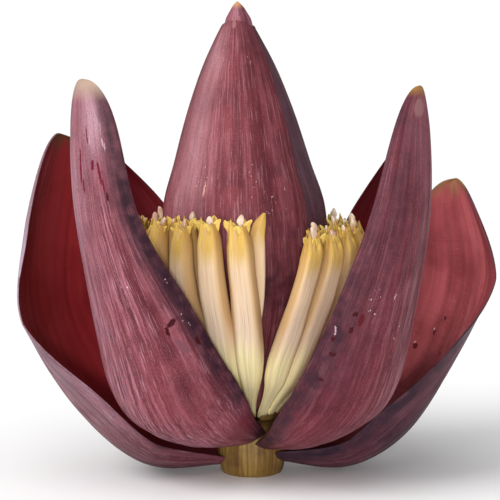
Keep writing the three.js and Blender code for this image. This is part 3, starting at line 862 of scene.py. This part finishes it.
def waxy_skin(name, tip_length, rib_width=1.7, wander=1.1, length=BRACT_LENGTH):
    """Waxed outer skin of a bract: fine lengthwise ribs with darker grooves between them, a grey bloom of wax
    that rubs off in patches, darker margins and a dry brown tip. Half matt, with a soft sheen."""
    base, rib, groove, bloom, dark = FINISH[name]["skin"]
    material, tree, shader = new_material("waxed_skin_" + name)
    skin, _, up, ribbed = read(tree, "skin")
    _, waxed, darkened, reddened = read(tree, "zones")
    place = add_node(tree, "TexCoord", out="Object")
    wavy = ragged_skin(tree, skin, wander, size=9)
    broad = streaks(tree, wavy, rib_width * 4.5, 110, 2, 0.5, shift=8)
    ribs = streaks(tree, wavy, rib_width, 70, 3, 0.6)
    lines = streaks(tree, wavy, rib_width * 0.42, 16, 2, 0.6, shift=5)
    # Blotches 14 mm across, mottling of 6 mm, and a grain of 0.7 mm that breaks the wax up.
    blotches, mottled, grain = (
        add_node(tree, "TexNoise", {"Vector": place, "Scale": 1 / (size * MM), "Detail": detail}, out="Fac")
        for size, detail in [(14, 5.0), (6, 5.0), (0.7, 3.0)])
    end = below_tip(tree, up, length, 2 * tip_length, lines, 0.6)
    mottled = add_node(tree, "ValToRGB", {"Fac": mottled}, stops=[(0.4, 1.0), (0.62, 0.7)], out="Color")
    wax = add_node(tree, "Math", {0: grain, 1: 0.55, 2: 0.72}, operation="MULTIPLY_ADD", out=0)
    wax = add_node(tree, "Math", {0: wax, 1: waxed}, operation="MULTIPLY", out=0)
    colour = paint(tree, linear(base), [
        (groove, broad, [(0.36, 1.0), (0.5, 0.0)], 0.45),
        (rib, broad, [(0.5, 0.0), (0.66, 1.0)], 0.3),
        (groove, blotches, [(0.46, 0.0), (0.66, 1.0)], 0.55),
        (bloom, waxed, [(0.0, 0.0), (1.0, 1.0)], wax),
        (groove, ribs, [(0.38, 1.0), (0.45, 0.0)], ribbed),
        (rib, ribs, [(0.52, 0.0), (0.6, 1.0)], ribbed),
        (groove, lines, [(0.34, 1.0), (0.42, 0.0)], ribbed),
        (rib, lines, [(0.56, 0.0), (0.66, 1.0)], ribbed),
        (groove, grain, [(0.34, 1.0), (0.46, 0.0)], 0.3),
        (rib, grain, [(0.56, 0.0), (0.7, 1.0)], 0.3),
        (bloom, lines, [(0.58, 0.0), (0.66, 0.8)], ribbed),
        (RED_SKIN, reddened, [(0.0, 0.0), (1.0, 1.0)], 1.0),
        # The dark layer: darker skin along margins and in patches, and on the right bract and the heart also
        # painted shade.
        (dark, darkened, [(0.0, 0.0), (0.9, 1.0)], mottled),
        (FINISH[name]["tip"], end, [(0.5, 1.0), (1.1, 0.0)], 1.0),
    ])
    shaken = ragged_skin(tree, skin, 1.2)
    # Light specks, 0.5 mm across and about 2 mm apart, in a few loose clusters: partly pale dust, partly
    # painted glints of water drops.
    dust_and_glints = add_node(tree, "TexVoronoi", {"Vector": shaken, "Scale": 0.5}, out="Distance")
    dust_and_glints = add_node(tree, "ValToRGB", {"Fac": dust_and_glints}, stops=[(0.09, 1.0), (0.16, 0.0)], out="Color")
    height = add_node(tree, "Math", {0: lines, 1: 0.35, 2: ribs}, operation="MULTIPLY_ADD", out=0)
    height = add_node(tree, "Math", {0: height, 1: ribbed}, operation="MULTIPLY", out=0)
    for hex_value, depth, places in MARKS.get(name, ()):
        inside = spots(tree, shaken, places)
        strength = dust_and_glints if hex_value == DUST_AND_GLINT else 1.0
        colour = paint(tree, colour, [(hex_value, inside, MARK_EDGE, strength)])
        height = add_node(tree, "Math", {0: inside, 1: -depth, 2: height}, operation="MULTIPLY_ADD", out=0)
    relief = add_node(tree, "Bump", {"Height": height, "Strength": 0.8, "Distance": 0.5 * MM}, out=0)
    rough = add_node(tree, "ValToRGB", {"Fac": blotches}, stops=[(0.35, 0.42), (0.65, 0.56)], out="Color")
    set_inputs(tree, shader, {
        "Base Color": colour, "Normal": relief, "Roughness": rough, "IOR": 1.42, "Specular IOR Level": 0.14})
    return material


def lining_skin(name, base, deep, light, tip, ripple=0.0, marks=()):
    """Smooth inner skin of a bract: clear red, faintly streaked along, with cross ripples where it has
    creased, a dry brown edge at the tip and painted shade that darkens it towards the base. Satin, without
    wax."""
    material, tree, shader = new_material(name)
    skin, _, up, _ = read(tree, "skin")
    _, _, darkened, _ = read(tree, "zones")
    place = add_node(tree, "TexCoord", out="Object")
    folds = streaks(tree, skin, 7, 160, 2, 0.5, shift=11)
    lines = streaks(tree, skin, 1.4, 60, 3, 0.6, shift=2)
    ripples = streaks(tree, ragged_skin(tree, skin, 3, size=12), 9, 1.1, 3, 0.6, shift=3)
    blotches = add_node(tree, "TexNoise", {"Vector": place, "Scale": 1 / (30 * MM), "Detail": 4.0}, out="Fac")
    end = below_tip(tree, up, BRACT_LENGTH, 22.0, folds, 0.8)
    share = add_node(tree, "Math", {0: up, 1: 1 / BRACT_LENGTH}, operation="MULTIPLY", out=0)
    rippled = add_node(tree, "ValToRGB", {"Fac": share}, stops=[
        (0.5, 0.45 * ripple), (0.8, 0.1 * ripple)], out="Color")
    colour = paint(tree, linear(base), [
        (deep, folds, [(0.36, 1.0), (0.5, 0.0)], 0.3),
        (light, folds, [(0.54, 0.0), (0.7, 1.0)], 0.3),
        (light, lines, [(0.55, 0.0), (0.75, 1.0)], 0.25),
        (deep, blotches, [(0.46, 0.0), (0.68, 1.0)], 0.6),
        (light, ripples, [(0.5, 0.0), (0.66, 1.0)], rippled),
        # Dark zones: darker flesh, and on the right bract painted shadow cast by the front right bract.
        (deep, darkened, [(0.0, 0.0), (1.0, 1.0)], 0.85),
        # Painted shade: a deep red-black at the base of the lining, fading out by 0.42 of the way up, where
        # the bracts stand close round the heart.
        ("#3a0c12", share, [(0.12, 0.85), (0.42, 0.0)], 1.0),
        (tip, end, [(0.42, 1.0), (0.8, 0.0)], 0.9),
    ])
    shaken = ragged_skin(tree, skin, 0.8)
    # Marks painted on the lining, such as drops with their painted highlights.
    for hex_value, places in marks:
        colour = paint(tree, colour, [(hex_value, spots(tree, shaken, places), MARK_EDGE, 1.0)])
    height = add_node(tree, "Math", {0: ripples, 1: ripple, 2: folds}, operation="MULTIPLY_ADD", out=0)
    relief = add_node(tree, "Bump", {"Height": height, "Strength": 0.5, "Distance": 0.6 * MM}, out=0)
    set_inputs(tree, shader, {
        "Base Color": colour, "Normal": relief, "Roughness": 0.45, "IOR": 1.4, "Specular IOR Level": 0.08})
    return material


def petal_flesh():
    """Fresh petal: fleshy and matt. Pale yellow where the tube is hidden low down, lifted to near white at
    the bottom as painted light where the bracts shade it, pinkish cream above, golden at the mouth, tan on
    the side faces and further round on the right as painted shade, with a painted highlight along the edges
    of the front face and fine lengthwise veins."""
    material, tree, shader = new_material("fresh_petal")
    petal, turned, height, kind = read(tree, "petal")
    place = add_node(tree, "TexCoord", out="Object")
    # Round the tube 1 mm is about 8 degrees: veins are 0.6 mm wide and the broad streaks 3 mm.
    veins = streaks(tree, petal, 5, 34, 3, 0.65)
    broad = streaks(tree, petal, 24, 50, 2, 0.5, shift=9)
    blotches = add_node(tree, "TexNoise", {"Vector": place, "Scale": 1 / (6 * MM), "Detail": 3.0}, out="Fac")
    up = add_node(tree, "Math", {0: height, 1: 1 / FLOWER_LENGTH}, operation="MULTIPLY", out=0)
    shaken = add_node(tree, "Math", {0: broad, 1: 0.16, 2: up}, operation="MULTIPLY_ADD", out=0)
    # Shifted 8 degrees so that the tan of the side faces reaches further round on the right: painted shade on
    # the side away from the light.
    aside = add_node(tree, "Math", {0: turned, 1: 8.0}, operation="SUBTRACT", out=0)
    aside = add_node(tree, "Math", {0: aside}, operation="ABSOLUTE", out=0)
    aside = add_node(tree, "Math", {0: aside, 1: 1 / 180}, operation="MULTIPLY", out=0)
    side = add_node(tree, "ValToRGB", {"Fac": aside}, stops=[(0.21, 0.0), (0.34, 1.0)], out="Color")
    middle = add_node(tree, "ValToRGB", {"Fac": aside}, stops=[(0.08, 1.0), (0.22, 0.0)], out="Color")
    veined = add_node(tree, "ValToRGB", {"Fac": veins}, stops=[(0.52, 0.0), (0.68, 1.0)], out="Color")
    veined = add_node(tree, "Math", {0: veined, 1: middle}, operation="MULTIPLY", out=0)
    # Up the tube: pale yellow low down, near white at the bottom as painted light in the bracts' shade, then
    # pinkish cream and gold at the mouth.
    colour = add_node(tree, "ValToRGB", {"Fac": shaken}, stops=[
        (0.03, "#fbeca0"), (0.12, "#fff2b8"), (0.42, "#efe2ac"), (0.53, "#d8c0a6"), (0.87, "#ceb292"),
        (0.95, "#c09c48"), (1.0, "#c39c38")], out="Color")
    colour = paint(tree, colour, [
        ("#b8907a", broad, [(0.46, 0.0), (0.7, 1.0)], 0.4),
        ("#b08c7c", up, [(0.36, 0.0), (0.5, 1.0)], veined),
        ("#f0dfba", veins, [(0.32, 1.0), (0.46, 0.0)], 0.35),
        # Painted highlight: a pale line along the edges between the front face and the side faces.
        ("#d2b27e", aside, [(0.19, 0.0), (0.245, 1.0), (0.3, 0.0)], 0.3),
        ("#b48c5a", up, [(0.3, 0.1), (0.55, 0.85)], side),
        ("#9c6f22", up, [(0.86, 0.0), (0.98, 0.7)], side),
    ])
    horn = add_node(tree, "ValToRGB", {"Fac": up}, stops=[
        (0.5, "#cdb48a"), (0.92, "#c09a3a"), (1.0, "#d2b056")], out="Color")
    horn = paint(tree, horn, [
        ("#a8762c", blotches, [(0.5, 0.0), (0.68, 1.0)], 0.6),
        ("#ead28a", veins, [(0.3, 1.0), (0.45, 0.0)], 0.6),
        ("#a08a5c", veins, [(0.5, 0.0), (0.64, 1.0)], 0.4),
    ])
    club = add_node(tree, "ValToRGB", {"Fac": blotches}, stops=[(0.4, "#d9c4ae"), (0.65, "#b98c78")], out=0)
    for over, at_least in [(horn, LOBE - 0.5), (club, CLUB - 0.5), (linear("#5e4a22"), PAD - 0.5)]:
        share = add_node(tree, "Math", {0: kind, 1: at_least}, operation="GREATER_THAN", out=0)
        colour = add_node(tree, "Mix", {SHARE: share, UNDER: colour, OVER: over}, data_type="RGBA", out=MIXED)
    relief = add_node(tree, "Bump", {"Height": veins, "Strength": 0.5, "Distance": 0.3 * MM}, out=0)
    set_inputs(tree, shader, {
        "Base Color": colour, "Normal": relief, "Roughness": 0.55, "IOR": 1.4, "Specular IOR Level": 0.3,
        "Subsurface Weight": 0.12, "Subsurface Radius": (1.0, 0.6, 0.25), "Subsurface Scale": 2.5 * MM})
    return material


def stem_flesh():
    """Cut stalk: damp fibrous flesh, tan and olive streaks running up it, browned at the top where the bracts
    sat, dull with a slight wet shine."""
    material, tree, shader = new_material("stem_flesh")
    skin, _, up, radius = read(tree, "skin")
    place = add_node(tree, "TexCoord", out="Object")
    fibres = streaks(tree, skin, 1.3, 40, 4, 0.6)
    broad = streaks(tree, skin, 6, 60, 2, 0.5, shift=4)
    blotches = add_node(tree, "TexNoise", {"Vector": place, "Scale": 1 / (9 * MM), "Detail": 3.0}, out="Fac")
    height = add_node(tree, "Math", {0: up, 1: 1 / STEM_TOP}, operation="MULTIPLY", out=0)
    inner = add_node(tree, "Math", {0: radius, 1: 1 / 15}, operation="MULTIPLY", out=0)
    cut_face = add_node(tree, "ValToRGB", {"Fac": inner}, stops=[
        (0.1, "#a8935f"), (0.55, "#9c8148"), (0.9, "#745a2c")], out="Color")
    flesh = paint(tree, linear("#6e5226"), [
        ("#806630", broad, [(0.42, 0.0), (0.6, 1.0)], 1.0),
        ("#54331c", fibres, [(0.34, 0.8), (0.5, 0.0)], 1.0),
        ("#9c8046", fibres, [(0.55, 0.0), (0.72, 0.6)], 1.0),
        ("#4a2e18", blotches, [(0.52, 0.0), (0.72, 0.6)], 1.0),
        ("#2c140c", height, [(0.72, 0.0), (0.95, 0.85)], 1.0),
    ])
    below = add_node(tree, "ValToRGB", {"Fac": height}, stops=[(0.0, 1.0), (0.03, 0.0)], out="Color")
    colour = add_node(
        tree, "Mix", {SHARE: below, UNDER: flesh, OVER: cut_face}, data_type="RGBA", out=MIXED)
    relief = add_node(tree, "Bump", {"Height": fibres, "Strength": 0.8, "Distance": 0.5 * MM}, out=0)
    set_inputs(tree, shader, {
        "Base Color": colour, "Normal": relief, "Roughness": 0.5, "IOR": 1.4, "Specular IOR Level": 0.3})
    return material


# ---- finishes -----------------------------------------------------------------------------------
# A zone of a skin: s and t of its middle, how far it reaches in s and in t, what it is, and how strong.
# `edges` holds the width, mm, and the strength of the dark band along the clockwise margin and along the
# other. `skin` holds the colours of the skin, its ribs, its grooves, its wax and its dark places. A mark is
# a colour, how deep it is scored, in halves of a millimetre (below 0 it stands out), and its places: mm
# across and along the skin, width, length and turn.
# Pale specks: partly dust, partly painted glints of water drops.
DUST_AND_GLINT = "#ccb0b2"
FINISH = {
    "bract_front_left": dict(
        ribs=0.6, bloom=0.3, edges=[(3, 0.2), (15, 0.95)], zones=[
            (0.95, 0.3, 0.07, 0.5, BLOOM, 0.95), (0.85, -0.6, 0.14, 0.5, BLOOM, 0.7),
            (0.6, -0.7, 0.25, 0.4, BLOOM, 0.6), (0.4, -0.8, 0.2, 0.4, BLOOM, 0.5),
            (0.3, -0.45, 0.16, 0.5, RIBS, 1.0), (0.45, 0.45, 0.22, 0.35, RIBS, 0.08),
            (0.9, 0.2, 0.1, 0.6, RIBS, 0.12), (0.45, 0.45, 0.25, 0.35, BLOOM, 0.0),
            (0.16, 0.8, 0.12, 0.4, DARK, 0.15), (0.16, 0.8, 0.1, 0.3, RED, 0.8),
            (0.14, -0.2, 0.12, 0.5, DARK, 0.3)],
        skin=("#703139", "#a56672", "#461822", "#a98490", "#2f1924"), tip="#a48b7c", tip_length=6),
    "bract_front_right": dict(
        ribs=0.45, bloom=0.2, edges=[(13, 0.9), (3, 0.2)], zones=[
            (0.88, -0.6, 0.14, 0.6, DARK, 0.15), (0.53, -0.85, 0.14, 0.4, DARK, 1.0),
            (0.72, -0.9, 0.1, 0.4, DARK, 0.6), (0.83, -0.42, 0.14, 0.25, DARK, 0.6),
            (0.93, 0.0, 0.08, 0.6, BLOOM, 0.5), (0.84, 0.5, 0.14, 0.5, BLOOM, 0.4),
            (0.86, 0.0, 0.16, 0.9, RIBS, 0.12), (0.5, -0.3, 0.2, 0.35, RIBS, 0.15),
            (0.4, 0.5, 0.25, 0.4, RIBS, 0.85), (0.35, 0.7, 0.25, 0.3, BLOOM, 0.5),
            (0.26, -0.5, 0.2, 0.35, RED, 0.5)],
        skin=("#662730", "#98606a", "#42141c", "#8a6270", "#341c26"), tip="#936a38"),
    "bract_left": dict(
        ribs=0.4, bloom=0.2, edges=[(3, 0.3), (2, 0.1)], zones=[
            (0.7, 0.95, 0.3, 0.3, BLOOM, 0.95), (0.42, 0.9, 0.14, 0.3, BLOOM, 0.55),
            (0.18, 0.2, 0.12, 0.8, DARK, 0.6)],
        skin=("#65262f", "#8f5f6b", "#41161f", "#a996a4", "#2e1a22"), tip="#6a4a2c"),
    # On the right bract the two dark zones are painted shadow cast by the front right bract, on its lining
    # and its outside.
    "bract_right": dict(
        ribs=0.35, bloom=0.25, edges=[(16, 0.8), (4, 0.4)], zones=[
            (0.5, -0.3, 0.3, 0.4, BLOOM, 0.5), (0.38, -0.5, 0.12, 0.4, DARK, 0.7),
            (0.5, 0.2, 0.14, 0.5, DARK, 0.9)],
        skin=("#56222e", "#86525f", "#34131c", "#75626f", "#2c1e28"), tip="#7c5a34"),
    "bract_back_left": dict(
        ribs=0.45, bloom=0.4, edges=[(8, 0.6), (8, 0.6)], zones=[(0.6, 0.0, 0.4, 0.5, BLOOM, 0.6)],
        skin=("#652e39", "#895a63", "#441b25", "#866c79", "#35202a"), tip="#8a6238"),
    "bract_back_right": dict(
        ribs=0.45, bloom=0.35, edges=[(8, 0.6), (8, 0.6)], zones=[(0.6, 0.2, 0.4, 0.5, BLOOM, 0.5)],
        skin=("#612a35", "#85555f", "#401821", "#7f6974", "#35202a"), tip="#8a6238"),
    # Front heart bract: the dark band low across it, where it shows between the hands, and the broad dark
    # zone on its right side are each partly darker skin and partly painted shade.
    "heart_bract_front": dict(
        ribs=0.38, bloom=0.12, edges=[(9, 0.5), (4, 0.6)], zones=[
            (0.92, 0.6, 0.08, 0.4, DARK, 0.75), (0.92, -0.4, 0.06, 0.35, BLOOM, 0.7),
            (0.7, -0.5, 0.3, 0.35, BLOOM, 0.75), (0.85, -0.4, 0.15, 0.5, RIBS, 0.2),
            (0.6, 0.75, 0.3, 0.5, DARK, 0.5), (0.44, 0.2, 0.08, 1.0, DARK, 0.85)],
        skin=("#763239", "#9f5f68", "#481b23", "#b0858c", "#3e1b21"), tip="#a87a5c"),
    # Its dark band along the clockwise margin, next to the front heart bract's margin, is painted shadow.
    "heart_bract_right": dict(
        ribs=0.3, bloom=0.35, edges=[(10, 0.6), (6, 0.5)], zones=[(0.75, -0.6, 0.2, 0.4, BLOOM, 0.7)],
        skin=("#441a21", "#69404b", "#2d0f16", "#665161", "#221117"), tip="#a87a5c"),
    "heart_bract_back": dict(
        ribs=0.5, bloom=0.35, edges=[(8, 0.6), (8, 0.6)], zones=[(0.7, 0.5, 0.4, 0.4, BLOOM, 0.6)],
        skin=("#4d212b", "#6e444e", "#361119", "#6a5864", "#2a1a22"), tip="#a87a5c"),
    # The bud's dark band right of its wrapped margin is partly darker skin and partly painted shade of that
    # fold.
    "heart_bud": dict(
        ribs=0.45, bloom=0.3, edges=[(7, 0.75), (3, 0.0)], zones=[],
        skin=("#834954", "#a16d76", "#662d39", "#876f7b", "#4c242d"), tip="#b4855c"),
}
# Pale narrow streaks, scored in on the front left bract and standing out on the front right one; bruises and
# scars.
PALE_STREAK, BRUISE, SCAR = "#a88a94", "#5f0f26", "#3a0a12"
MARKS = {
    "bract_front_left": [
        (PALE_STREAK, 0.3, [
            (19, 236, 1.4, 8, 25), (22, 232, 1.2, 6, -20), (22, 227, 3, 4, 30), (24, 225, 1.4, 5, -15),
            (5, 228, 1.6, 5, 0)]),
        (BRUISE, 0.5, [
            (2, 230, 2.2, 9, 6), (-9, 219, 3, 17, -4), (6, 219, 6, 4, 60), (13, 216, 3.6, 12, 14),
            (16, 211, 2.6, 7, 12), (-7, 212, 2, 8, 0)]),
        (SCAR, 0.5, [(18, 207, 3.2, 4.5, 0), (27, 151, 9, 3, 20), (23, 148, 3, 6, 0), (36, 138, 3, 6, 0)]),
        ("#6f434c", 0, [(27, 139, 5, 13, 28)]),
        (DUST_AND_GLINT, -0.6, [(37, 170, 9, 14, 0), (36, 148, 9, 20, 0), (34, 105, 8, 9, 0), (8, 170, 16, 12, 0)])],
    "bract_front_right": [
        ("#82595c", 0, [(-2, 242, 34, 9, 0)]),
        (PALE_STREAK, -0.6, [(-38, 147, 1.3, 7, 24), (-8, 168, 1.2, 4, 5)]),
        (SCAR, 0.4, [
            (-37, 142, 2.5, 4, 0), (-34, 134, 5, 3.5, 0), (-34, 117, 4, 3.5, 0), (-29, 149, 3.5, 4.5, 0),
            (-30, 157, 5, 3, 0)]),
        ("#4c1016", 0.4, [(-25, 155, 4.5, 9, 0)]),
        (DUST_AND_GLINT, -0.6, [(-20, 165, 12, 20, 0), (2, 150, 12, 14, 0)])],
    "heart_bract_front": [
        ("#84585a", 0, [(3, 226, 13, 6, 0)]),
        (DUST_AND_GLINT, -0.6, [
            (-11, 157, 9, 12, 0), (-19, 152, 7, 12, 0), (-6, 212, 14, 12, 0), (24, 209, 10, 7, 0),
            (17, 152, 8, 24, 0), (25, 141, 14, 14, 0), (37, 143, 10, 14, 0)]),
        ("#b98a80", 0.4, [(-11.5, 147, 1.6, 9, -8)])],
}
# Lining colours: the flesh, its deep folds, its light streaks and the dry tip, and how rippled it is.
LINING = {
    "bract_front_left": ("#8a2a30", "#5c1218", "#a2444a", "#5a4028", 0.1),
    "bract_front_right": ("#8a2a30", "#5c1218", "#a2444a", "#5a4028", 0.1),
    "bract_left": ("#7d2226", "#6a1418", "#872b2f", "#553520", 0.1),
    "bract_right": ("#a65055", "#642428", "#b4666b", "#94694a", 0.9),
    # The two back bracts' linings are darker as painted shade, where they lie deep between the heart and the
    # front bracts.
    "bract_back_left": ("#580c13", "#3e060b", "#6c2028", "#4a3420", 0.1),
    "bract_back_right": ("#600f18", "#40070d", "#741f28", "#4a3420", 0.1),
}
# Water drops on the right bract's lining: dark spots, each with a small pale painted highlight.
DROPS_AND_GLINTS = {"bract_right": [
    ("#5a2228", [(20, 159, 3, 5, 0), (29, 146, 4, 5, 0), (15, 169, 3, 3, 0), (8, 150, 3, 3, 0)]),
    ("#caa0a0", [(21, 160.5, 1.6, 1.8, 0), (30, 148, 1.6, 1.8, 0)])]}

# ---- making -------------------------------------------------------------------------------------
HAND_SEED = 31
petals = petal_flesh()
model = model_flower()
for order, (name, hand) in enumerate(HANDS.items()):
    make_hand(name, hand, HAND_SEED + order, model, petals)
bpy.data.objects.remove(model)

make_stem(stem_flesh())

# Each bract has a seed of its own, which shifts its waves and patches.
for order, (name, b) in enumerate(BRACTS.items()):
    outside = waxy_skin(name, tip_length=FINISH[name].get("tip_length", 3))
    lining = lining_skin("red_lining_" + name, *LINING[name], marks=DROPS_AND_GLINTS.get(name, ()))
    make_bract(name, b, 3.7 * order + 1, outside, lining)

heart_lining = lining_skin("pale_lining_heart", "#8a4a50", "#6b3036", "#a66a6c", "#a66a6c")
for order, (name, b) in enumerate(HEART_BRACTS.items()):
    outside = waxy_skin(name, rib_width=2.3, wander=0.5, length=b["tip"], tip_length=0.6)
    make_heart_bract(name, b, 5.1 * order + 2, outside, heart_lining)
make_heart_bud(waxy_skin("heart_bud", rib_width=2.0, length=HEART_BUD_POINT[-1][0], tip_length=2.5))

# ---- studio -------------------------------------------------------------------------------------
FLOOR_SIZE = 80  # metres
floor = grid("floor", 2, 2)
start_edit("VERT")
bpy.ops.mesh.select_all(action="SELECT")
bpy.ops.transform.resize(value=(FLOOR_SIZE, FLOOR_SIZE, 1))
end_edit()
paper, tree, shader = new_material("white_paper")
set_inputs(tree, shader, {"Base Color": (0.94, 0.94, 0.94, 1), "Roughness": 0.9})
floor.data.materials.append(paper)
bpy.ops.object.select_all(action="DESELECT")

room = bpy.data.worlds.new("studio")
room.use_nodes = True
set_inputs(room.node_tree, room.node_tree.nodes["Background"], {"Color": (1, 1, 1, 1), "Strength": 0.4})
bpy.context.scene.world = room


def far_light(name, bearing, above, strength, spread):
    """Light from far off: the bearing and the height above level that it comes from and how soft it is,
    degrees."""
    lamp = bpy.data.lights.new(name, "SUN")
    lamp.energy = strength
    lamp.angle = math.radians(spread)
    light = bpy.data.objects.new(name, lamp)
    bpy.context.scene.collection.objects.link(light)
    light.rotation_euler = (math.radians(90 - above), 0, math.radians(bearing + 90))


far_light("key", -147, 40, 1.85, 36)
far_light("fill", -97, 3, 1.1, 24)
far_light("front", -90, 8, 1.45, 5)
far_light("top", -110, 72, 0.85, 50)
bpy.context.scene.view_settings.view_transform = "Standard"
